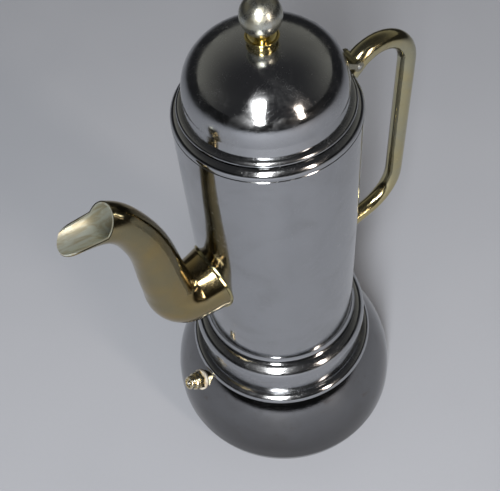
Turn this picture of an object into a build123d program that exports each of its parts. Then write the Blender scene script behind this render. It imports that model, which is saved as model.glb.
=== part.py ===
from build123d import *
from math import asin, atan2, cos, pi, radians, sin, sqrt, tan
import os

# Stove-top moka pot: a bulged boiler, a tall pitcher that screws on to it, a domed hinged lid.
# Millimetres. The origin is the centre of the boiler's flat bottom, +Z is the pot's axis,
# the spout and the safety valve point along -X and the handle stands out along +X.

os.makedirs("parts", exist_ok=True)

# ---------------------------------------------------------------- driving dimensions

SHEET = 1.0             # thickness of the pressed steel sheet
REST_GAP = 0.3          # air between bodies that move apart

BULGE_R = 61.5          # widest radius of the boiler
BULGE_Z = 18.7          # height of the widest radius
BULGE_RISE = 64.5       # upper half axis of the boiler's elliptical side
BASE_R = 47.5           # radius of the flat bottom
PAN_TOP = 9.0           # joint between the pressed bottom and the side wall
SHOULDER_Z = 58.5       # top of the boiler's pressed side
RING_R = 48.6           # outside radius of the shoulder ring
RING_TOP_R = 44.9       # where the ring's rounding meets its flat top
RING_TOP = 62.6         # height of the ring's flat top

NECK_R = 40.2           # root radius of the boiler's neck
NECK_BORE = 37.4        # inside radius of the neck
NECK_TOP = 76.0         # height of the neck's lip
PITCH = 4.0             # thread pitch
THREAD_TURNS = 2.0
NECK_CREST = 40.9       # crest radius of the neck's thread
COLLAR_CREST = 41.15    # crest radius of the collar's thread, clear of the neck's crests
COLLAR_BORE = 41.6      # root radius of the collar's thread

BAND_R = 44.3           # outside radius of the collar's plain band
BAND_TOP = 77.3         # top of the plain band
BEAD_R = 44.8           # widest radius of the collar's shoulder bead
WEB_Z = 80.4            # underside of the collar's web, which presses on the gasket
BODY_R = 38.0           # outside radius of the pitcher's cylinder
BODY_BORE = BODY_R - SHEET
FOOT_Z = 84.4           # where the pitcher's cylinder stands on the collar
FOOT_R = 39.7           # radius of the cylinder's flared foot
FLARE_TOP = 89.7        # top of the flare
BEND_Z = 223.6          # crease where the rolled rim starts
RIM_Z = 228.0           # top of the rolled rim
RIM_TOP_R = 35.3        # outer radius of the rim's flat top
RIM_BORE = 34.1         # mouth radius inside the rim

LID_EDGE_R = 35.3       # outside radius of the lid's rolled flange
DOME_FOOT_R = 32.9      # radius of the dome where it leaves the flange
DOME_FOOT_Z = 230.6
DOME_R = 32.2           # radius where the dome's curve starts
DOME_Z = 235.0          # height where the dome's curve starts
DOME_TOP = 257.5        # height of the dome's top
DOME_POWER = 2.35       # exponent of the dome's superellipse
LID_OPEN_AXIS = (41.2, 226.3)   # hinge pin, as x and z

BALL_R = 7.8            # knob ball
BALL_Z = 268.2          # height of the ball's centre

COLUMN_R = 5.6          # coffee column in the pitcher
COLUMN_BORE = 4.4
COLUMN_TOP = 172.0

CUP_R = 36.8            # funnel cup
CUP_WALL = 0.8
CUP_FLOOR = 55.0        # where the cup's straight wall ends
STEM_R = 6.0
STEM_BORE = 5.2
STEM_TOP = 47.0
STEM_FOOT = 8.0

SPOUT_Z = 137.5         # height of the hole behind the spout
SPOUT_WALL = 1.2
HANDLE_R = 4.0          # radius of the handle's bar
HANDLE_END_R = 4.9      # radius it swells to at the hinge
HANDLE_X = 71.3         # distance of the handle's upright leg from the pot's axis

VALVE_Z = 50.7          # height where the safety valve leaves the boiler
VALVE_STUD_R = 3.0
VALVE_BORE = 2.5
VALVE_PIN_R = 1.1


# ---------------------------------------------------------------- helpers

def turned(*edges):
    """Solid of revolution about Z from a closed half outline drawn as (radius, height)."""
    return revolve(Plane.XZ * make_face(edges), Axis.Z)


def turned_polygon(*points):
    """The same, for an outline of straight lines only."""
    return turned(Polyline(*points, close=True))


def disc(radius, low, high):
    """Upright cylinder on the Z axis between two heights."""
    return Pos(0, 0, low) * Cylinder(radius, high - low, align=(Align.CENTER, Align.CENTER, Align.MIN))


def ring(outer, inner, low, high):
    """Upright tube on the Z axis between two heights."""
    return disc(outer, low, high) - disc(inner, low - 1, high + 1)


def hexagon(across_flats, low, high):
    """Upright hexagonal prism on the Z axis, its corners lightly chamfered."""
    corner_r = across_flats / sqrt(3)
    prism = extrude(Pos(0, 0, low) * RegularPolygon(corner_r, 6), high - low)
    bevel = turned_polygon(
        (0, low - 1), (corner_r + 1, low - 1), (corner_r + 1, high - 0.8), (corner_r - 0.7, high), (0, high)
    )
    return prism & bevel


def thread(root, crest, low):
    """Helical thread ridge standing on a cylinder of radius root, out or in to radius crest."""
    helix = Helix(pitch=PITCH, height=PITCH * THREAD_TURNS, radius=root, center=(0, 0, low))
    outward = 1 if crest > root else -1
    depth = abs(crest - root)
    start = Plane(origin=helix @ 0, x_dir=(outward, 0, 0), z_dir=helix % 0)
    sunk = 0.2
    profile = Polyline((-sunk, -1.1), (depth, -0.35), (depth, 0.35), (-sunk, 1.1), close=True)
    return sweep(start * make_face(profile), path=helix, is_frenet=True)


def perforated(plate, low, high, rings, spacing, hole_r):
    """Plate with round holes on concentric circles, six more on each circle than on the last."""
    punches = [disc(hole_r, low - 1, high + 1)]
    for number in range(1, rings + 1):
        for step in range(6 * number):
            turn = 2 * pi * step / (6 * number)
            punches.append(Pos(number * spacing * cos(turn), number * spacing * sin(turn), 0) * punches[0])
    return plate - punches


def boiler_wall(inset):
    """Solid of the boiler's outer form, drawn in by inset, up to the shoulder."""
    reach = BULGE_R - inset
    rise = BULGE_RISE - inset
    top_turn = asin((SHOULDER_Z - BULGE_Z) / rise)
    turns = [top_turn * step / 8 for step in range(9)]
    leaving = (-reach * sin(top_turn), rise * cos(top_turn))
    side = Spline(*[(reach * cos(t), BULGE_Z + rise * sin(t)) for t in turns], tangents=[(0, 1), leaving])
    toe_reach = BULGE_R - BASE_R - inset
    toe_drop = BULGE_Z - inset
    turns = [pi / 2 * (step / 8 - 1) for step in range(9)]
    toe = Spline(
        *[(BASE_R + toe_reach * cos(t), BULGE_Z + toe_drop * sin(t)) for t in turns], tangents=[(1, 0), (0, 1)]
    )
    return turned(
        toe,
        side,
        Line(side @ 1, (0, SHOULDER_Z)),
        Line((0, SHOULDER_Z), (0, inset)),
        Line((0, inset), toe @ 0),
    )


def dome_form(inset):
    """Solid inside the lid's dome, drawn in by inset: a short band, then a superellipse."""
    rise = DOME_TOP - DOME_Z - inset
    reach = DOME_R - inset
    curve = []
    for step in range(13):
        turn = radians(90 * step / 12)
        curve.append((reach * cos(turn) ** (2 / DOME_POWER), DOME_Z + rise * sin(turn) ** (2 / DOME_POWER)))
    band = Line((DOME_FOOT_R - inset, DOME_FOOT_Z), curve[0])
    crown = Spline(*curve, tangents=[(0, 1), (-1, 0)])
    return turned(
        band,
        crown,
        Line(crown @ 1, (0, DOME_FOOT_Z)),
        Line((0, DOME_FOOT_Z), (DOME_FOOT_R - inset, DOME_FOOT_Z)),
    )


# ---------------------------------------------------------------- boiler

boiler_outer = boiler_wall(0)
boiler_hollow = boiler_wall(SHEET)
boiler_full = boiler_outer - boiler_hollow - disc(NECK_R, SHOULDER_Z - 5, SHOULDER_Z + 1)
boiler_pan = boiler_full & disc(BULGE_R + 1, -1, PAN_TOP)
boiler_side = boiler_full - disc(BULGE_R + 1, -1, PAN_TOP)

shoulder_ring = turned(
    Polyline((RING_TOP_R, RING_TOP), (NECK_R, RING_TOP), (NECK_R, SHOULDER_Z), (48.0, SHOULDER_Z), (RING_R, 59.1)),
    ThreePointArc((RING_R, 59.1), (47.4, 61.6), (RING_TOP_R, RING_TOP)),
)

neck_foot = ring(NECK_R + 1.6, NECK_BORE, SHOULDER_Z - 1.2, SHOULDER_Z)
boiler_neck = ring(NECK_R, NECK_BORE, SHOULDER_Z - 1.2, NECK_TOP) + neck_foot
boiler_neck += thread(NECK_R, NECK_CREST, NECK_TOP - 10.5)


# ---------------------------------------------------------------- safety valve

valve_r = BULGE_R * sqrt(1 - ((VALVE_Z - BULGE_Z) / BULGE_RISE) ** 2)
valve_tilt = atan2(BULGE_R**2 * (VALVE_Z - BULGE_Z), BULGE_RISE**2 * valve_r)
valve_axis = (-cos(valve_tilt), 0, sin(valve_tilt))
valve_frame = Plane(origin=(-valve_r, 0, VALVE_Z), x_dir=(0, 1, 0), z_dir=valve_axis)
HEX_FOOT = 0.8          # heights along the valve's own axis, from the boiler's skin
HEX_TOP = 3.4
BARREL_TOP = 5.6
CAP_TOP = 8.6
CAP_R = 3.6
BARREL_R = 4.5
CAP_HOLE = VALVE_PIN_R + 0.3
PIN_SHOULDER = (1.2, 2.0)

boiler_shell = boiler_side - valve_frame * disc(VALVE_STUD_R, -4, 4)

valve_washer = valve_frame * ring(5.6, VALVE_STUD_R, -0.6, HEX_FOOT) - boiler_outer

barrel = turned_polygon(
    (0, HEX_TOP), (4.0, HEX_TOP), (4.0, HEX_TOP + 0.4), (BARREL_R, HEX_TOP + 0.6),
    (BARREL_R, BARREL_TOP - 0.5), (BARREL_R - 0.5, BARREL_TOP), (0, BARREL_TOP),
)
valve_solid = hexagon(9.2, HEX_FOOT, HEX_TOP) + barrel + disc(VALVE_STUD_R, -5.2, HEX_FOOT)
valve_bore = disc(VALVE_BORE, PIN_SHOULDER[0] - REST_GAP, BARREL_TOP + 1) + disc(1.2, -6, BARREL_TOP)
valve_body = valve_frame * (valve_solid - valve_bore)

cap_form = turned(
    Polyline((CAP_HOLE, BARREL_TOP), (CAP_R, BARREL_TOP), (CAP_R, CAP_TOP - 0.6)),
    ThreePointArc((CAP_R, CAP_TOP - 0.6), (CAP_R - 0.18, CAP_TOP - 0.18), (CAP_R - 0.6, CAP_TOP)),
    Polyline((CAP_R - 0.6, CAP_TOP), (2.5, CAP_TOP), (2.3, CAP_TOP - 0.7), (CAP_HOLE, CAP_TOP - 0.7)),
    Line((CAP_HOLE, CAP_TOP - 0.7), (CAP_HOLE, BARREL_TOP)),
)
cap_hollow = disc(VALVE_BORE, BARREL_TOP - 1, CAP_TOP - 1.5)
valve_cap = valve_frame * (cap_form - cap_hollow)

pin_stem = disc(VALVE_PIN_R, PIN_SHOULDER[0], CAP_TOP + 0.5)
pin_form = pin_stem + disc(VALVE_BORE - 0.2, *PIN_SHOULDER)
valve_pin = valve_frame * chamfer(pin_form.edges().sort_by(Axis.Z)[-1], 0.35)

SPRING_WIRE = 0.28
spring_low = PIN_SHOULDER[1] + SPRING_WIRE + 0.02
spring_high = CAP_TOP - 1.5 - SPRING_WIRE - 0.02
spring_helix = Helix(
    pitch=(spring_high - spring_low) / 5, height=spring_high - spring_low, radius=1.8, center=(0, 0, spring_low)
)
spring_section = Plane(origin=spring_helix @ 0, x_dir=(1, 0, 0), z_dir=spring_helix % 0) * Circle(SPRING_WIRE)
valve_spring = valve_frame * sweep(spring_section, path=spring_helix, is_frenet=True)

valve_locknut = valve_frame * (hexagon(8.6, -4.4, -1.5) - disc(VALVE_STUD_R, -6, 0))


# ---------------------------------------------------------------- funnel

FLANGE_LOW = NECK_TOP + REST_GAP
FLANGE_HIGH = FLANGE_LOW + CUP_WALL
funnel_cup = turned_polygon(
    (NECK_R, FLANGE_LOW), (NECK_R, FLANGE_HIGH), (CUP_R - CUP_WALL, FLANGE_HIGH),
    (CUP_R - CUP_WALL, CUP_FLOOR), (STEM_R, STEM_TOP + CUP_WALL), (STEM_R, STEM_TOP),
    (CUP_R, CUP_FLOOR - 0.2), (CUP_R, FLANGE_LOW),
)
funnel_stem = ring(STEM_R, STEM_BORE, STEM_FOOT, STEM_TOP + CUP_WALL)
plate_low = CUP_FLOOR
plate_high = CUP_FLOOR + 0.8
funnel_plate = perforated(disc(CUP_R - CUP_WALL, plate_low, plate_high), plate_low, plate_high, 6, 5.2, 0.9)


# ---------------------------------------------------------------- gasket and upper filter

GASKET_R = 40.6
GASKET_BORE = 31.0
FILTER_R = 33.5
gasket_low = FLANGE_HIGH + REST_GAP
gasket_high = WEB_Z - REST_GAP
filter_low = gasket_low + 0.9
filter_high = filter_low + 0.8
gasket = ring(GASKET_R, GASKET_BORE, gasket_low, gasket_high) - disc(FILTER_R, filter_low, filter_high)
filter_plate = perforated(disc(FILTER_R, filter_low, filter_high), filter_low, filter_high, 7, 4.1, 0.7)


# ---------------------------------------------------------------- pitcher

collar_foot = RING_TOP + REST_GAP
collar_form = turned(
    Polyline(
        (FOOT_R, FOOT_Z), (BODY_BORE, FOOT_Z), (BODY_BORE, WEB_Z), (COLLAR_BORE, WEB_Z), (COLLAR_BORE, collar_foot),
        (BAND_R - 0.4, collar_foot), (BAND_R, collar_foot + 0.4), (BAND_R, BAND_TOP), (BEAD_R, BAND_TOP + 0.7),
    ),
    ThreePointArc((BEAD_R, BAND_TOP + 0.7), (43.2, 82.3), (FOOT_R, FOOT_Z)),
)
threaded_collar = collar_form + thread(COLLAR_BORE, COLLAR_CREST, collar_foot + 2.4)

body_form = turned(
    Line((BODY_BORE, FOOT_Z), (FOOT_R, FOOT_Z)),
    Line((FOOT_R, FOOT_Z), (FOOT_R, FOOT_Z + 0.5)),
    ThreePointArc((FOOT_R, FOOT_Z + 0.5), (BODY_R + 0.45, 86.6), (BODY_R, FLARE_TOP)),
    Line((BODY_R, FLARE_TOP), (BODY_R, BEND_Z - 0.3)),
    Polyline((BODY_R, BEND_Z - 0.3), (BODY_R - 0.25, BEND_Z), (BODY_R - 0.05, BEND_Z + 0.3)),
    ThreePointArc((BODY_R - 0.05, BEND_Z + 0.3), (BODY_R - 0.85, RIM_Z - 1.2), (RIM_TOP_R, RIM_Z)),
    Polyline((RIM_TOP_R, RIM_Z), (RIM_BORE + 0.3, RIM_Z), (RIM_BORE, RIM_Z - 0.3), (RIM_BORE, RIM_Z - 1.8)),
    Polyline((RIM_BORE, RIM_Z - 1.8), (BODY_BORE, RIM_Z - 5.4), (BODY_BORE, FOOT_Z)),
)
spout_hole = Pos(-BODY_R, 0, SPOUT_Z) * Rot(0, 90, 0) * Cylinder(11.0, 12)
pitcher_body = body_form - spout_hole

pitcher_floor = ring(BODY_BORE, COLUMN_R, WEB_Z, WEB_Z + 1.2)
coffee_column = ring(COLUMN_R, COLUMN_BORE, WEB_Z, COLUMN_TOP)

CAP_SLEEVE_R = 6.9
CAP_FOOT = 166.0
CAP_TIP = 180.0
cap_solid = fillet(disc(CAP_SLEEVE_R, CAP_FOOT, CAP_TIP).edges().sort_by(Axis.Z)[-1], 2.0)
cap_room = disc(COLUMN_R, CAP_FOOT - 1, CAP_TIP - 2.0)
cap_window = Pos(0, 0, 174.6) * Box(6.0, 4 * CAP_SLEEVE_R, 4.4)
column_cap = cap_solid - cap_room - cap_window


# ---------------------------------------------------------------- spout

# The elbow turns about a line across the pot just inside its crease; its sections are listed as
# heading above the horizontal and outside radius.
CREASE = (45.9, 150.4)
CREASE_GAP = 0.6        # how far the tube's inner side keeps outside that line
ELBOW = ((0, 14.2), (21, 14.0), (42, 13.2), (63, 12.1), (84, 11.3))
# Upright sections of the flared stub: distance out from the pot's axis, height and outside radius.
STUB = ((30.0, 138.4, 16.4), (36.0, 137.5, 15.6), (41.0, 136.5, 14.8))
# Stations up the swan neck, with the centre line's heading above the horizontal as well.
NECK = (
    (58.5, 157.0, 10.8, 85), (59.5, 167.0, 10.1, 85), (60.5, 177.0, 9.4, 82),
    (62.7, 187.0, 8.8, 73), (66.2, 196.6, 8.3, 66), (70.1, 203.6, 8.25, 54), (75.5, 208.6, 8.3, 33),
    (81.8, 210.9, 8.35, 14), (89.0, 212.2, 8.4, 10), (98.0, 213.8, 8.4, 10),
)
MOUTH_X = 77.5          # where the tube's upper side is cut away
MOUTH_LEAN = 6.2        # how far the cut leans back towards the pot at the tube's crown
TROUGH_Z = 208.4        # height of the open trough's edges
TROUGH_TIP = 95.2       # how far out the trough's rounded tip reaches
TIP_REACH = 11.0        # length of the tip's rounding


def spout_section(out, height, radius, heading):
    """Circular section of the spout, square to a heading above the horizontal."""
    along = (-cos(radians(heading)), 0, sin(radians(heading)))
    return Plane(origin=(-out, 0, height), x_dir=(0, 1, 0), z_dir=along) * Circle(radius)


def spout_form(inset):
    """Solid spout, drawn in by inset all round: a flared stub, an elbow and a swan neck."""
    elbow = []
    for heading, radius in ELBOW:
        reach = radius + CREASE_GAP
        out = CREASE[0] + reach * sin(radians(heading))
        height = CREASE[1] - reach * cos(radians(heading))
        elbow.append(spout_section(out, height, radius - inset, heading))
    stub = [spout_section(out, height, radius - inset, 0) for out, height, radius in STUB]
    neck = [spout_section(out, height, radius - inset, heading) for out, height, radius, heading in NECK]
    return loft([*stub, elbow[0]]) + loft(elbow) + loft([elbow[-1], *neck])


spout_outer = spout_form(0)
spout_bore = spout_form(SPOUT_WALL)
mouth_outline = Polyline(
    (-MOUTH_X, TROUGH_Z), (-120, TROUGH_Z), (-120, 240), (-MOUTH_X + 2 * MOUTH_LEAN, 240),
    (-MOUTH_X + MOUTH_LEAN, TROUGH_Z + 7), close=True,
)
mouth_cut = extrude(Plane.XZ * make_face(mouth_outline), 30, both=True)
tip_x = TROUGH_TIP - TIP_REACH
tip_keep = extrude(Pos(-tip_x, 0, 190) * Ellipse(TIP_REACH, 8.0), 50)
tip_keep += Pos(-tip_x, 0, 90) * Box(200, 80, 150, align=(Align.MIN, Align.CENTER, Align.MIN))
spout = (spout_outer - spout_bore - mouth_cut - disc(BODY_R, 90, 200)) & tip_keep

seam_form = Pos(-BODY_R, 0, STUB[1][1]) * Rot(0, 90, 0) * Cylinder(STUB[1][2] + 0.6, 12)
spout_seam = (seam_form & ring(BODY_R + 0.8, BODY_R, 100, 170)) - spout_outer


# ---------------------------------------------------------------- handle

ROOT_TILT = radians(42)     # how steeply the handle leaves the rim
ROOT_Z = 218.4              # height of the bar's centre line at ROOT_X
ROOT_X = 36.5
FOOT_TILT = radians(16.7)   # slope of the handle's lower arm down to the wall
HANDLE_FOOT_Z = 115.4
crown_z = ROOT_Z + (HANDLE_X - ROOT_X) * tan(ROOT_TILT)
heel_z = HANDLE_FOOT_Z + (HANDLE_X - ROOT_X) * tan(FOOT_TILT)
handle_path = FilletPolyline(
    (ROOT_X, 0, ROOT_Z), (HANDLE_X, 0, crown_z), (HANDLE_X, 0, heel_z), (ROOT_X, 0, HANDLE_FOOT_Z),
    radius=[17.0, 22.0],
)
SWELL = 0.22                # share of the handle's length over which it swells to the hinge


def handle_station(share):
    """Circular section of the handle at a share of its length from the hinge end."""
    swell = max(0.0, 1 - share / SWELL) ** 1.5
    radius = HANDLE_R + (HANDLE_END_R - HANDLE_R) * swell
    section = Plane(origin=handle_path @ share, x_dir=(0, 1, 0), z_dir=handle_path % share)
    return section * Circle(radius)


handle_form = loft([handle_station(step / 40) for step in range(41)])
PIN_R = 1.0
KNUCKLE_R = 2.2             # barrel round the pin on the handle, and the ears' rounded ends
KNUCKLE_HALF = 3.9          # half the barrel's length
EAR_IN = KNUCKLE_HALF + REST_GAP
EAR_OUT = 5.3               # outside face of each ear, measured from the middle
pin_place = Pos(LID_OPEN_AXIS[0], 0, LID_OPEN_AXIS[1]) * Rot(90, 0, 0)
handle = handle_form + pin_place * Cylinder(KNUCKLE_R, 2 * KNUCKLE_HALF) - disc(BODY_R, 100, 240)
for side in (-1, 1):
    recess = Pos(0, 0, side * (KNUCKLE_HALF + 5)) * Cylinder(KNUCKLE_R + REST_GAP, 10)
    handle -= pin_place * recess
handle -= pin_place * Cylinder(PIN_R, 20)
hinge_pin = pin_place * fillet(Cylinder(PIN_R, 2 * EAR_OUT + 0.5).edges(), 0.35)


# ---------------------------------------------------------------- lid

dome_outer = dome_form(0)
lid_dome = dome_outer - dome_form(SHEET * 0.9) - disc(2.0, DOME_TOP - 5, DOME_TOP + 1)
lid_flange = turned(
    Polyline((31.9, DOME_FOOT_Z), (DOME_FOOT_R, DOME_FOOT_Z)),
    ThreePointArc((DOME_FOOT_R, DOME_FOOT_Z), (LID_EDGE_R - 0.55, DOME_FOOT_Z - 0.55), (LID_EDGE_R, 229.0)),
    Polyline(
        (LID_EDGE_R, 229.0), (LID_EDGE_R - 0.3, RIM_Z + REST_GAP), (33.6, RIM_Z + REST_GAP), (33.6, 225.6),
        (32.8, 225.6), (31.9, 227.6), (31.9, DOME_FOOT_Z),
    ),
)
# The lid's hinge: a tab welded on the flange, with an arm and an ear down each side of the handle.
hinge_x, hinge_z = LID_OPEN_AXIS
ARM_ROOT = (33.4, 230.75)   # point in the tab that each arm runs to from the pin
ARM_HALF = 1.1              # half the arm's height
TAB_IN = 32.6               # the tab's inner and outer edges, its underside and its top
TAB_OUT = 34.6
TAB_BASE = 228.8
TAB_TOP = 231.0
arm_run = Vector(ARM_ROOT[0] - hinge_x, 0, ARM_ROOT[1] - hinge_z)
arm_line = Plane(origin=(hinge_x, 0, hinge_z), x_dir=arm_run, z_dir=(0, -1, 0))
arm_outline = arm_line * Rectangle(arm_run.length, 2 * ARM_HALF, align=(Align.MIN, Align.CENTER))
arm = extrude(arm_outline, (EAR_OUT - EAR_IN) / 2, both=True)
ear = arm + pin_place * Cylinder(KNUCKLE_R, EAR_OUT - EAR_IN)
tab_size = (TAB_OUT - TAB_IN, 2 * EAR_OUT, TAB_TOP - TAB_BASE)
fork = Pos((TAB_IN + TAB_OUT) / 2, 0, (TAB_BASE + TAB_TOP) / 2) * Box(*tab_size)
for side in (-1, 1):
    fork += Pos(0, side * (EAR_IN + EAR_OUT) / 2, 0) * ear
fork -= disc(BODY_R + 10, TAB_TOP, TAB_TOP + 5)
lid_lug = fork - lid_flange - dome_outer - pin_place * Cylinder(PIN_R + 0.05, 20)

NECK_SEAT = BALL_Z - BALL_R + 0.5
knob_collar = turned(
    Line((0, DOME_TOP - 2), (5.5, DOME_TOP - 2)),
    Line((5.5, DOME_TOP - 2), (5.5, DOME_TOP + 0.1)),
    ThreePointArc((5.5, DOME_TOP + 0.1), (6.05, DOME_TOP + 0.8), (6.4, DOME_TOP + 1.9)),
    ThreePointArc((6.4, DOME_TOP + 1.9), (6.1, DOME_TOP + 2.2), (5.8, DOME_TOP + 1.9)),
    ThreePointArc((5.8, DOME_TOP + 1.9), (4.5, DOME_TOP + 0.95), (2.9, DOME_TOP + 0.7)),
    Polyline((2.9, DOME_TOP + 0.7), (2.9, NECK_SEAT), (0, NECK_SEAT), (0, DOME_TOP - 2)),
) - dome_outer - disc(2.0, DOME_TOP - 3, BALL_Z)
knob_ball = Pos(0, 0, BALL_Z) * Sphere(BALL_R) - disc(2.0, BALL_Z - 10, BALL_Z - 2) - disc(2.9, 250, NECK_SEAT)
knob_stud = disc(2.0, DOME_TOP - 6.4, BALL_Z - 2)
knob_washer = ring(4.6, 2.0, DOME_TOP - 2.2, DOME_TOP - 1) - (dome_outer - dome_form(SHEET * 0.9))
knob_nut = hexagon(7.0, DOME_TOP - 5.4, DOME_TOP - 2.2) - disc(2.0, DOME_TOP - 7, DOME_TOP)


# ---------------------------------------------------------------- files

nodes = {
    "boiler_shell": boiler_shell,
    "boiler_pan": boiler_pan,
    "shoulder_ring": shoulder_ring,
    "boiler_neck": boiler_neck,
    "valve_washer": valve_washer,
    "valve_body": valve_body,
    "valve_cap": valve_cap,
    "valve_pin": valve_pin,
    "valve_spring": valve_spring,
    "valve_locknut": valve_locknut,
    "funnel_cup": funnel_cup,
    "funnel_plate": funnel_plate,
    "funnel_stem": funnel_stem,
    "gasket": gasket,
    "filter_plate": filter_plate,
    "pitcher_body": pitcher_body,
    "pitcher_floor": pitcher_floor,
    "threaded_collar": threaded_collar,
    "coffee_column": coffee_column,
    "column_cap": column_cap,
    "spout": spout,
    "spout_seam": spout_seam,
    "handle": handle,
    "hinge_pin": hinge_pin,
    "lid_dome": lid_dome,
    "lid_flange": lid_flange,
    "lid_lug": lid_lug,
    "knob_collar": knob_collar,
    "knob_ball": knob_ball,
    "knob_stud": knob_stud,
    "knob_washer": knob_washer,
    "knob_nut": knob_nut,
}
for name, solid in nodes.items():
    export_step(solid, f"parts/{name}.step")
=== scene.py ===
import math

import bpy
from mathutils import Matrix, Vector


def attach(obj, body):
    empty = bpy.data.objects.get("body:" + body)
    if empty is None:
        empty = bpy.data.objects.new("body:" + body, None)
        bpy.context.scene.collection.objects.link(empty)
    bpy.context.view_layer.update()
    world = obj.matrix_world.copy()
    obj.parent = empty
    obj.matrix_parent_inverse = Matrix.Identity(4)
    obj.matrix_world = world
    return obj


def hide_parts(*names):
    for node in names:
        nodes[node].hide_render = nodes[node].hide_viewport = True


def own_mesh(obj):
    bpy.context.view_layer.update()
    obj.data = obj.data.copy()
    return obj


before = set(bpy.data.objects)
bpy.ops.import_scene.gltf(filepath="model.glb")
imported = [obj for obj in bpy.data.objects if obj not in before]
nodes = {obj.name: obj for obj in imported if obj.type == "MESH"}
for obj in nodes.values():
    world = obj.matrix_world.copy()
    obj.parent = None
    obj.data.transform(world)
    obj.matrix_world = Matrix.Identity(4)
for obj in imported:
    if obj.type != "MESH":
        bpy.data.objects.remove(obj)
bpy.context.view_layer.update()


# ---------------------------------------------------------------- node graph helper

MM_PER_METRE = 1000.0
WALL_RADIUS = 40.0        # millimetres from the axis at which lines_round's lengths are true
CONE_RISE = 1.7           # how much a step outwards counts beside a step upwards in lines_round
SCRATCH_ANGLES = ((0.3, 0.9, 0.2), (1.2, 0.1, 2.0), (2.2, 1.4, 0.7))
SCRATCH_LENGTHEN = 0.05   # noise scale along a scratch as a share of the scale across it
SCRATCH_PATCH = 0.11      # noise scale of the patches that scratches gather in


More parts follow.
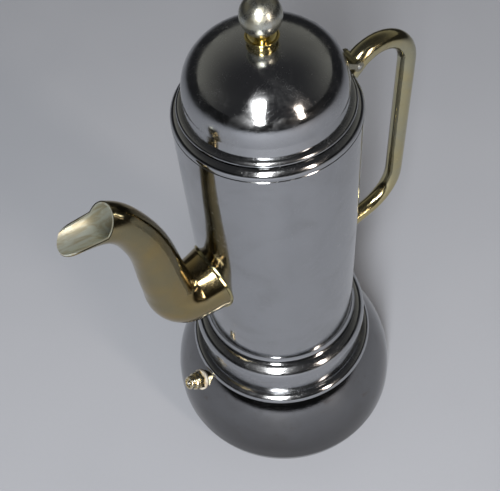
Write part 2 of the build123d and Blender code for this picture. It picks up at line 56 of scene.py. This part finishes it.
class Graph:
    """Builds one procedural material, node by node. Coordinates are the pot's own, in millimetres."""

    def __init__(self, name):
        self.material = bpy.data.materials.new(name)
        self.material.use_nodes = True
        self.tree = self.material.node_tree
        self.tree.nodes.clear()
        output = self.tree.nodes.new("ShaderNodeOutputMaterial")
        self.shader = self.tree.nodes.new("ShaderNodeBsdfPrincipled")
        self.tree.links.new(self.shader.outputs["BSDF"], output.inputs["Surface"])
        coords = self.tree.nodes.new("ShaderNodeTexCoord")
        self.place = self.vector("SCALE", coords.outputs["Object"], scale=MM_PER_METRE)
        split = self.tree.nodes.new("ShaderNodeSeparateXYZ")
        self.link(self.place, split.inputs[0])
        self.x, self.y, self.z = split.outputs

    def link(self, value, socket):
        """Connects a node's output to a socket, or sets the socket to a plain value."""
        if isinstance(value, bpy.types.NodeSocket):
            self.tree.links.new(value, socket)
        else:
            socket.default_value = value

    def vector(self, operation, a, b=None, scale=None):
        node = self.tree.nodes.new("ShaderNodeVectorMath")
        node.operation = operation
        self.link(a, node.inputs[0])
        if b is not None:
            self.link(b, node.inputs[1])
        if scale is not None:
            self.link(scale, node.inputs["Scale"])
        gives_number = operation in ("LENGTH", "DOT_PRODUCT", "DISTANCE")
        return node.outputs["Value" if gives_number else 0]

    def math(self, operation, a, b=None, clamp=False):
        node = self.tree.nodes.new("ShaderNodeMath")
        node.operation = operation
        node.use_clamp = clamp
        self.link(a, node.inputs[0])
        if b is not None:
            self.link(b, node.inputs[1])
        return node.outputs[0]

    def span(self, value, low, high, out_low=0.0, out_high=1.0, smooth=True):
        """Maps a value from one range to another, clamped."""
        node = self.tree.nodes.new("ShaderNodeMapRange")
        node.interpolation_type = "SMOOTHSTEP" if smooth else "LINEAR"
        self.link(value, node.inputs["Value"])
        ends = {"From Min": low, "From Max": high, "To Min": out_low, "To Max": out_high}
        for name, number in ends.items():
            node.inputs[name].default_value = number
        return node.outputs["Result"]

    def combine(self, x, y, z):
        node = self.tree.nodes.new("ShaderNodeCombineXYZ")
        for value, socket in zip((x, y, z), node.inputs):
            self.link(value, socket)
        return node.outputs[0]

    def noise(self, where, scale=1.0, detail=3.0, roughness=0.55, distortion=0.0, stretch=None, shift=None):
        """Noise with features about 1 / scale millimetres across, stretched along an axis if asked."""
        if shift is not None:
            where = self.vector("ADD", where, shift)
        if stretch is not None:
            where = self.vector("MULTIPLY", where, stretch)
        node = self.tree.nodes.new("ShaderNodeTexNoise")
        self.link(where, node.inputs["Vector"])
        node.inputs["Scale"].default_value = scale
        node.inputs["Detail"].default_value = detail
        node.inputs["Roughness"].default_value = roughness
        node.inputs["Distortion"].default_value = distortion
        return node.outputs["Fac"]

    def turn(self, where, angles):
        node = self.tree.nodes.new("ShaderNodeVectorRotate")
        node.rotation_type = "EULER_XYZ"
        self.link(where, node.inputs["Vector"])
        node.inputs["Rotation"].default_value = angles
        return node.outputs[0]

    def mix(self, amount, a, b):
        """Blends two colours."""
        node = self.tree.nodes.new("ShaderNodeMix")
        node.data_type = "RGBA"
        self.link(amount, node.inputs["Factor"])
        self.link(a, node.inputs[6])
        self.link(b, node.inputs[7])
        return node.outputs[2]

    def around(self):
        """Direction outwards from the pot's axis, and distance from it."""
        flat = self.combine(self.x, self.y, 0.0)
        radius = self.vector("LENGTH", flat)
        heading = self.vector("NORMALIZE", flat)
        return heading, radius

    def lines_round(self, length=18.0, fine=4.0, detail=4.0):
        """Fine lines round the pot's axis, as polishing and spinning leave them."""
        heading, radius = self.around()
        long = self.vector("SCALE", heading, scale=WALL_RADIUS / length)
        parts = self.tree.nodes.new("ShaderNodeSeparateXYZ")
        self.link(long, parts.inputs[0])
        outward = self.math("MULTIPLY", radius, CONE_RISE)
        rise = self.math("MULTIPLY", self.math("ADD", self.z, outward), fine)
        return self.noise(self.combine(parts.outputs[0], parts.outputs[1], rise), 1.0, detail, 0.7)

    def scratches(self, density, width):
        """Thin scattered scratches in several directions: 1 on a scratch and 0 off it."""
        total = None
        stretch = (density, density * SCRATCH_LENGTHEN, density)
        for number, angles in enumerate(SCRATCH_ANGLES):
            turned = self.turn(self.place, angles)
            field = self.noise(turned, 1.0, 2.0, 0.6, stretch=stretch, shift=(number * 31.0, 7.0, 3.0))
            line = self.math("ABSOLUTE", self.math("SUBTRACT", field, 0.5))
            line = self.span(line, 0.0, width, 1.0, 0.0)
            gather = self.noise(turned, SCRATCH_PATCH, 2.0, 0.5, shift=(5.0 * number, 2.0, 9.0))
            patch = self.span(gather, 0.48, 0.62)
            line = self.math("MULTIPLY", line, patch)
            total = line if total is None else self.math("MAXIMUM", total, line)
        return total

    def distance_to_line(self, points):
        """Distance from a chain of straight stretches."""
        nearest = None
        for start, end in zip(points, points[1:]):
            run = Vector(end) - Vector(start)
            offset = self.vector("SUBTRACT", self.place, start)
            along = self.vector("DOT_PRODUCT", offset, tuple(run / run.length_squared))
            along = self.math("MULTIPLY", along, 1.0, clamp=True)
            foot = self.vector("SCALE", tuple(run), scale=along)
            gap = self.vector("DISTANCE", offset, foot)
            nearest = gap if nearest is None else self.math("MINIMUM", nearest, gap)
        return nearest

    def bump(self, height, strength, distance, previous=None):
        """Bump from a height of 0 to 1, where 1 stands for a distance in millimetres."""
        node = self.tree.nodes.new("ShaderNodeBump")
        self.link(height, node.inputs["Height"])
        node.inputs["Strength"].default_value = strength
        node.inputs["Distance"].default_value = distance / MM_PER_METRE
        if previous is not None:
            self.link(previous, node.inputs["Normal"])
        return node.outputs[0]

    def finish(self, color, roughness, normal=None, metallic=1.0, **plain):
        self.link(color, self.shader.inputs["Base Color"])
        self.link(roughness, self.shader.inputs["Roughness"])
        if not self.shader.inputs["Metallic"].is_linked:
            self.shader.inputs["Metallic"].default_value = metallic
        if normal is not None:
            self.link(normal, self.shader.inputs["Normal"])
        for name, value in plain.items():
            self.shader.inputs[name].default_value = value
        return self.material


# ---------------------------------------------------------------- materials

# Points down the middle of the spout's bore from its mouth, in millimetres, and a radius between
# the bore's and the tube's.
SPOUT_LINE = (
    (-98.0, 0.0, 213.8), (-89.0, 0.0, 212.2), (-81.8, 0.0, 210.9), (-75.5, 0.0, 208.6),
    (-70.1, 0.0, 203.6), (-66.2, 0.0, 196.6), (-62.7, 0.0, 187.0), (-60.5, 0.0, 177.0),
)
LINING_RADIUS = 7.7
LINING_EDGE = 0.35        # millimetres over which the tinning fades out
ROOT_LOW = 118.0          # heights between which the brass turns yellower towards the spout's root
ROOT_HIGH = 160.0
PAINTED_SHADE_TOP = 52.0           # height above which the boiler's steel has no painted shade


def polished_steel(name, gloss=0.035, wave=0.05, hazing=0.07):
    """Mirror-polished sheet: faint waviness, polishing lines round the pot, haze and scratches."""
    g = Graph(name)
    smear = g.noise(g.place, 0.035, 4.0, 0.6, 0.6)
    cloud = g.span(smear, 0.44, 0.72)
    lines = g.lines_round(30.0, 5.0)
    scratch = g.scratches(0.55, 0.006)
    specks = g.span(g.noise(g.place, 1.3, 2.0, 0.5), 0.72, 0.78)
    color = g.mix(g.math("MULTIPLY", cloud, 0.45), (0.42, 0.43, 0.445, 1), (0.31, 0.315, 0.32, 1))
    color = g.mix(g.math("MULTIPLY", specks, 0.35), color, (0.25, 0.24, 0.22, 1))
    haze = g.span(g.noise(g.place, 0.09, 5.0, 0.62, 0.8), 0.36, 0.66)
    rough = g.math("ADD", gloss, g.math("MULTIPLY", cloud, 0.07))
    rough = g.math("ADD", rough, g.math("MULTIPLY", g.span(lines, 0.35, 0.75), 0.05))
    rough = g.math("ADD", rough, g.math("MULTIPLY", haze, hazing))
    rough = g.math("ADD", rough, g.math("MULTIPLY", scratch, 0.20))
    rough = g.math("ADD", rough, g.math("MULTIPLY", specks, 0.25), clamp=True)
    normal = g.bump(g.noise(g.place, 0.03, 1.5, 0.4), 1.0, wave * 8.0)
    normal = g.bump(lines, 0.08, 0.02, normal)
    normal = g.bump(scratch, 0.12, -0.012, normal)
    return g.finish(color, rough, normal)


def boiler_steel(name):
    """Dark steel, finely brushed round the pot, with painted shade making it near black and a little brown
    towards the bottom, and duller low down.
    """
    g = Graph(name)
    lines = g.lines_round(60.0, 9.0, 5.0)
    broad = g.noise(g.place, 0.04, 3.0, 0.6, 0.5)
    # painted shade: the steel's colour goes near black towards the bottom, where the pot shades itself
    low = g.span(g.z, 2.0, PAINTED_SHADE_TOP)
    color = g.mix(low, (0.022, 0.019, 0.017, 1), (0.21, 0.212, 0.218, 1))
    color = g.mix(g.math("MULTIPLY", g.span(broad, 0.42, 0.72), 0.25), color, (0.10, 0.092, 0.085, 1))
    stain = g.span(g.noise(g.place, 0.12, 3.0, 0.6, 1.0), 0.62, 0.74)
    color = g.mix(g.math("MULTIPLY", stain, 0.30), color, (0.13, 0.09, 0.065, 1))
    rough = g.math("ADD", 0.04, g.math("MULTIPLY", g.span(lines, 0.25, 0.8), 0.09))
    rough = g.math("ADD", rough, g.math("MULTIPLY", g.span(g.z, 0.0, 30.0, 1.0, 0.0), 0.12))
    rough = g.math("ADD", rough, g.math("MULTIPLY", stain, 0.12), clamp=True)
    normal = g.bump(g.noise(g.place, 0.03, 2.0, 0.5), 1.0, 0.35)
    normal = g.bump(lines, 0.30, 0.04, normal)
    normal = g.bump(g.scratches(0.5, 0.006), 0.2, -0.02, normal)
    tangent = g.tree.nodes.new("ShaderNodeTangent")
    tangent.direction_type = "RADIAL"
    tangent.axis = "Z"
    g.link(tangent.outputs[0], g.shader.inputs["Tangent"])
    return g.finish(color, rough, normal, Anisotropic=0.4)


def aged_brass(name, bloom, rubbed, lined=False):
    """Polished brass: a greenish bloom, yellower where it is rubbed. A lined spout is tinned inside."""
    g = Graph(name)
    broad = g.noise(g.place, 0.045, 3.0, 0.55, 0.6)
    fine = g.noise(g.place, 0.9, 4.0, 0.65)
    flecks = g.math("MULTIPLY", g.math("SUBTRACT", fine, 0.5), 0.10)
    wear = g.span(g.math("ADD", broad, flecks), 0.30, 0.80)
    low = g.span(g.z, ROOT_LOW, ROOT_HIGH, 1.0, 0.0)
    wear = g.math("MAXIMUM", wear, g.math("MULTIPLY", low, 0.85))
    color = g.mix(wear, bloom, rubbed)
    tarnish = g.span(g.noise(g.place, 0.16, 4.0, 0.65, 1.5), 0.58, 0.74)
    color = g.mix(g.math("MULTIPLY", tarnish, 0.35), color, (0.24, 0.17, 0.075, 1))
    rough = g.math("ADD", 0.10, g.math("MULTIPLY", g.span(fine, 0.35, 0.75), 0.07))
    rough = g.math("ADD", rough, g.math("MULTIPLY", tarnish, 0.10))
    scratch = g.scratches(0.8, 0.008)
    rough = g.math("ADD", rough, g.math("MULTIPLY", scratch, 0.16), clamp=True)
    if lined:
        gap = g.distance_to_line(SPOUT_LINE)
        inner = g.span(gap, LINING_RADIUS, LINING_RADIUS + LINING_EDGE, 1.0, 0.0)
        streak = g.noise(g.place, 0.35, 4.0, 0.6, 0.4, stretch=(0.3, 1.6, 1.0))
        pale = g.mix(g.span(streak, 0.38, 0.66), (0.56, 0.59, 0.52, 1), (0.45, 0.42, 0.30, 1))
        color = g.mix(inner, color, pale)
        rough = g.math("MAXIMUM", rough, g.math("MULTIPLY", inner, 0.38))
        g.link(g.math("SUBTRACT", 1.0, g.math("MULTIPLY", inner, 0.35)), g.shader.inputs["Metallic"])
    normal = g.bump(g.noise(g.place, 0.08, 2.0, 0.5), 1.0, 0.25)
    normal = g.bump(fine, 0.08, 0.04, normal)
    normal = g.bump(scratch, 0.15, -0.015, normal)
    return g.finish(color, rough, normal)


def satin_steel(name, tone=(0.60, 0.60, 0.58, 1)):
    """Plain turned or pressed steel, with faint lime and coffee marks."""
    g = Graph(name)
    lines = g.lines_round(20.0, 8.0)
    stain = g.span(g.noise(g.place, 0.15, 4.0, 0.6, 1.0), 0.50, 0.70)
    color = g.mix(g.math("MULTIPLY", stain, 0.5), tone, (0.42, 0.36, 0.28, 1))
    rough = g.math("ADD", 0.22, g.math("MULTIPLY", g.span(lines, 0.3, 0.8), 0.15))
    rough = g.math("ADD", rough, g.math("MULTIPLY", stain, 0.12), clamp=True)
    normal = g.bump(lines, 0.3, 0.03)
    return g.finish(color, rough, normal)


def valve_metal(name):
    """Nickelled brass, yellow where the plating is rubbed off the edges."""
    g = Graph(name)
    fine = g.noise(g.place, 0.9, 4.0, 0.6)
    color = g.mix(g.span(fine, 0.40, 0.65), (0.68, 0.66, 0.56, 1), (0.70, 0.55, 0.25, 1))
    rough = g.math("ADD", 0.14, g.math("MULTIPLY", g.span(fine, 0.35, 0.75), 0.18), clamp=True)
    normal = g.bump(g.noise(g.place, 2.5, 3.0, 0.6), 0.3, 0.04)
    return g.finish(color, rough, normal)


def knob_metal(name):
    """Cast ball with a soft, slightly cloudy polish."""
    g = Graph(name)
    cloud = g.noise(g.place, 0.25, 5.0, 0.62, 0.8)
    color = g.mix(g.span(cloud, 0.38, 0.66), (0.52, 0.535, 0.49, 1), (0.40, 0.385, 0.30, 1))
    scratch = g.scratches(1.4, 0.02)
    rough = g.math("ADD", 0.23, g.math("MULTIPLY", g.span(cloud, 0.35, 0.7), 0.13))
    rough = g.math("ADD", rough, g.math("MULTIPLY", scratch, 0.15), clamp=True)
    normal = g.bump(g.noise(g.place, 1.2, 4.0, 0.6), 0.25, 0.05)
    normal = g.bump(scratch, 0.3, -0.03, normal)
    return g.finish(color, rough, normal)


def seal_rubber(name):
    """Off-white rubber, a little coffee-stained."""
    g = Graph(name)
    stain = g.noise(g.place, 0.2, 4.0, 0.6, 0.5)
    color = g.mix(g.span(stain, 0.42, 0.70), (0.62, 0.59, 0.52, 1), (0.34, 0.25, 0.17, 1))
    rough = g.span(g.noise(g.place, 3.0, 3.0, 0.6), 0.3, 0.7, 0.48, 0.72)
    normal = g.bump(g.noise(g.place, 4.0, 3.0, 0.6), 0.4, 0.05)
    return g.finish(color, rough, normal, metallic=0.0)


FADE_START = 450.0        # millimetres from the pot where the floor's painted shade begins
FADE_END = 1900.0
FLOOR_SHEEN = 0.08        # low, so that the floor isn't burnt out when seen against the light


def floor_material(name):
    """Pale matt floor with a very faint grain, with painted shade darkening it far away so that the polish
    has contrast.
    """
    g = Graph(name)
    grain = g.noise(g.place, 0.5, 4.0, 0.6)
    wide = g.noise(g.place, 0.006, 2.0, 0.5)
    color = g.mix(g.span(wide, 0.3, 0.7), (0.43, 0.45, 0.50, 1), (0.45, 0.47, 0.52, 1))
    color = g.mix(g.math("MULTIPLY", grain, 0.10), color, (0.34, 0.36, 0.40, 1))
    # painted shade: the floor's colour darkens far from the pot, as if the light fell off there
    far = g.span(g.vector("LENGTH", g.place), FADE_START, FADE_END)
    color = g.mix(far, color, (0.15, 0.155, 0.17, 1))
    rough = g.span(grain, 0.2, 0.8, 0.55, 0.75)
    matt = {"Specular IOR Level": FLOOR_SHEEN}
    return g.finish(color, rough, g.bump(grain, 0.2, 0.15), metallic=0.0, **matt)


finishes = {
    boiler_steel("boiler_steel"): ("boiler_shell", "boiler_pan"),
    polished_steel("body_steel"): ("pitcher_body",),
    polished_steel("dome_steel", gloss=0.05, wave=0.05, hazing=0.15): ("lid_dome",),
    polished_steel("rim_steel", gloss=0.07): ("shoulder_ring", "threaded_collar", "lid_flange"),
    satin_steel("satin_steel"): (
        "boiler_neck", "funnel_cup", "funnel_plate", "funnel_stem", "filter_plate", "pitcher_floor",
        "coffee_column", "column_cap", "knob_stud", "knob_washer", "knob_nut", "valve_pin", "valve_spring",
        "hinge_pin",
    ),
    satin_steel("hinge_steel", tone=(0.30, 0.285, 0.22, 1)): ("lid_lug",),
    aged_brass("spout_brass", (0.26, 0.23, 0.14, 1), (0.34, 0.255, 0.11, 1), lined=True): ("spout",),
    aged_brass("seam_brass", (0.38, 0.36, 0.22, 1), (0.48, 0.39, 0.16, 1)): ("spout_seam",),
    aged_brass("handle_brass", (0.44, 0.425, 0.30, 1), (0.54, 0.455, 0.225, 1)): ("handle",),
    aged_brass("collar_brass", (0.66, 0.56, 0.26, 1), (0.74, 0.58, 0.20, 1)): ("knob_collar",),
    valve_metal("valve_metal"): ("valve_body", "valve_cap", "valve_locknut"),
    knob_metal("knob_metal"): ("knob_ball",),
    seal_rubber("seal_rubber"): ("gasket", "valve_washer"),
}
for material, names in finishes.items():
    for node_name in names:
        slots = nodes[node_name].material_slots
        for slot in slots:
            slot.material = material
        if not slots:
            nodes[node_name].data.materials.append(material)


# ---------------------------------------------------------------- valve spring


def make_spring():
    """The valve's spring again, as a piece of its own fixed to the boiler."""
    spring = bpy.data.objects.new("squashed_spring", nodes["valve_spring"].data.copy())
    spring.matrix_world = nodes["valve_spring"].matrix_world.copy()
    bpy.context.scene.collection.objects.link(spring)
    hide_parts("valve_spring")
    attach(spring, "boiler")
    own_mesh(spring)


make_spring()


# ---------------------------------------------------------------- floor, light and camera

FLOOR_DROP = 0.0002       # just under the pot's flat bottom
FLOOR_RINGS = (0.5, 1.2, 1.9)   # radii of the flat floor's rings, in metres
FLOOR_SIDES = 96
FLOOR_FLAT = 3.0          # metres out to where the floor starts to sweep up
SWEEP_RADIUS = 2.0
SWEEP_STEPS = 10
SWEEP_TURN = math.radians(80)


def make_floor():
    """A round studio sweep: a flat floor that curves up all round, whichever side it is seen from."""
    profile = [(radius, 0.0) for radius in FLOOR_RINGS]
    for step in range(SWEEP_STEPS + 1):
        turn = SWEEP_TURN * step / SWEEP_STEPS
        rise = SWEEP_RADIUS * (1 - math.cos(turn))
        profile.append((FLOOR_FLAT + SWEEP_RADIUS * math.sin(turn), rise))
    points = [(0.0, 0.0, -FLOOR_DROP)]
    for radius, rise in profile:
        for step in range(FLOOR_SIDES):
            turn = 2 * math.pi * step / FLOOR_SIDES
            points.append((radius * math.cos(turn), radius * math.sin(turn), rise - FLOOR_DROP))
    faces = []
    for step in range(FLOOR_SIDES):
        following = (step + 1) % FLOOR_SIDES
        faces.append((0, 1 + step, 1 + following))
        for ring in range(len(profile) - 1):
            inner = 1 + ring * FLOOR_SIDES
            outer = inner + FLOOR_SIDES
            faces.append((inner + step, outer + step, outer + following, inner + following))
    mesh = bpy.data.meshes.new("floor")
    mesh.from_pydata(points, [], faces)
    mesh.shade_smooth()
    mesh.materials.append(floor_material("floor"))
    floor = bpy.data.objects.new("floor", mesh)
    bpy.context.scene.collection.objects.link(floor)


def direction(azimuth, elevation):
    """Unit vector from the pot towards an azimuth and elevation: azimuth 0 is -Y and 90 is +X."""
    a, e = math.radians(azimuth), math.radians(elevation)
    return Vector((math.sin(a) * math.cos(e), -math.cos(a) * math.cos(e), math.sin(e)))


POT_MIDDLE = Vector((0.0, 0.0, 0.13))
LIGHT_DISTANCE = 1.8
GLOW_AZIMUTH = 152
ROOM_DARK = (0.040, 0.040, 0.042, 1)
ROOM_GLOW = (0.25, 0.245, 0.215, 1)


def soft_box(name, azimuth, elevation, width, height, watts, color):
    """Rectangular soft box facing the pot."""
    light = bpy.data.lights.new(name, "AREA")
    light.shape = "RECTANGLE"
    light.size = width
    light.size_y = height
    light.energy = watts
    light.color = color
    lamp = bpy.data.objects.new(name, light)
    out = direction(azimuth, elevation)
    lamp.location = POT_MIDDLE + out * LIGHT_DISTANCE
    lamp.rotation_mode = "QUATERNION"
    lamp.rotation_quaternion = out.to_track_quat("Z", "Y")
    bpy.context.scene.collection.objects.link(lamp)


def make_world():
    """Dim room light: dark overhead and in front, a warm grey glow low down behind the pot."""
    world = bpy.data.worlds.new("studio")
    world.use_nodes = True
    tree = world.node_tree
    tree.nodes.clear()

    def ramp(value, low, high):
        node = tree.nodes.new("ShaderNodeMapRange")
        node.interpolation_type = "SMOOTHSTEP"
        node.inputs["From Min"].default_value = low
        node.inputs["From Max"].default_value = high
        tree.links.new(value, node.inputs["Value"])
        return node.outputs["Result"]

    coords = tree.nodes.new("ShaderNodeTexCoord")
    facing = tree.nodes.new("ShaderNodeVectorMath")
    facing.operation = "DOT_PRODUCT"
    tree.links.new(coords.outputs["Generated"], facing.inputs[0])
    facing.inputs[1].default_value = direction(GLOW_AZIMUTH, 0)
    height = tree.nodes.new("ShaderNodeSeparateXYZ")
    tree.links.new(coords.outputs["Generated"], height.inputs[0])
    glow = tree.nodes.new("ShaderNodeMath")
    glow.operation = "MULTIPLY"
    tree.links.new(ramp(facing.outputs["Value"], -0.6, 0.7), glow.inputs[0])
    tree.links.new(ramp(height.outputs["Z"], 0.95, 0.30), glow.inputs[1])
    mix = tree.nodes.new("ShaderNodeMix")
    mix.data_type = "RGBA"
    tree.links.new(glow.outputs[0], mix.inputs["Factor"])
    mix.inputs[6].default_value = ROOM_DARK
    mix.inputs[7].default_value = ROOM_GLOW
    background = tree.nodes.new("ShaderNodeBackground")
    tree.links.new(mix.outputs[2], background.inputs["Color"])
    background.inputs["Strength"].default_value = 1.0
    output = tree.nodes.new("ShaderNodeOutputWorld")
    tree.links.new(background.outputs[0], output.inputs["Surface"])
    bpy.context.scene.world = world


CAMERA_AZIMUTH = -28.0
CAMERA_ELEVATION = 53.87
CAMERA_ROLL = -6.39
CAMERA_DISTANCE = 0.38064
CAMERA_TARGET = Vector((-0.01102, 0.00586, 0.13484))
CAMERA_LENS = 57.0


def make_camera():
    """The one camera, fitted to the pot's rims, sides and ball."""
    data = bpy.data.cameras.new("camera")
    data.sensor_fit = "HORIZONTAL"
    data.sensor_width = 36.0
    data.lens = CAMERA_LENS
    data.clip_start = 0.01
    data.clip_end = 20.0
    camera = bpy.data.objects.new("camera", data)
    back = direction(CAMERA_AZIMUTH, CAMERA_ELEVATION)
    right = Vector((0, 0, 1)).cross(back).normalized()
    up = back.cross(right)
    roll = math.radians(CAMERA_ROLL)
    rolled_right = right * math.cos(roll) + up * math.sin(roll)
    rolled_up = up * math.cos(roll) - right * math.sin(roll)
    where = CAMERA_TARGET + back * CAMERA_DISTANCE
    turn = Matrix((rolled_right, rolled_up, back)).transposed()
    camera.matrix_world = Matrix.Translation(where) @ turn.to_4x4()
    bpy.context.scene.collection.objects.link(camera)
    bpy.context.scene.camera = camera


make_floor()
make_world()
soft_box("window", -40, 38, 0.27, 1.60, 48, (1.0, 0.99, 0.97))
soft_box("side", 12, 22, 0.19, 0.90, 9, (1.0, 0.86, 0.74))
make_camera()
bpy.context.scene.view_settings.view_transform = "Standard"
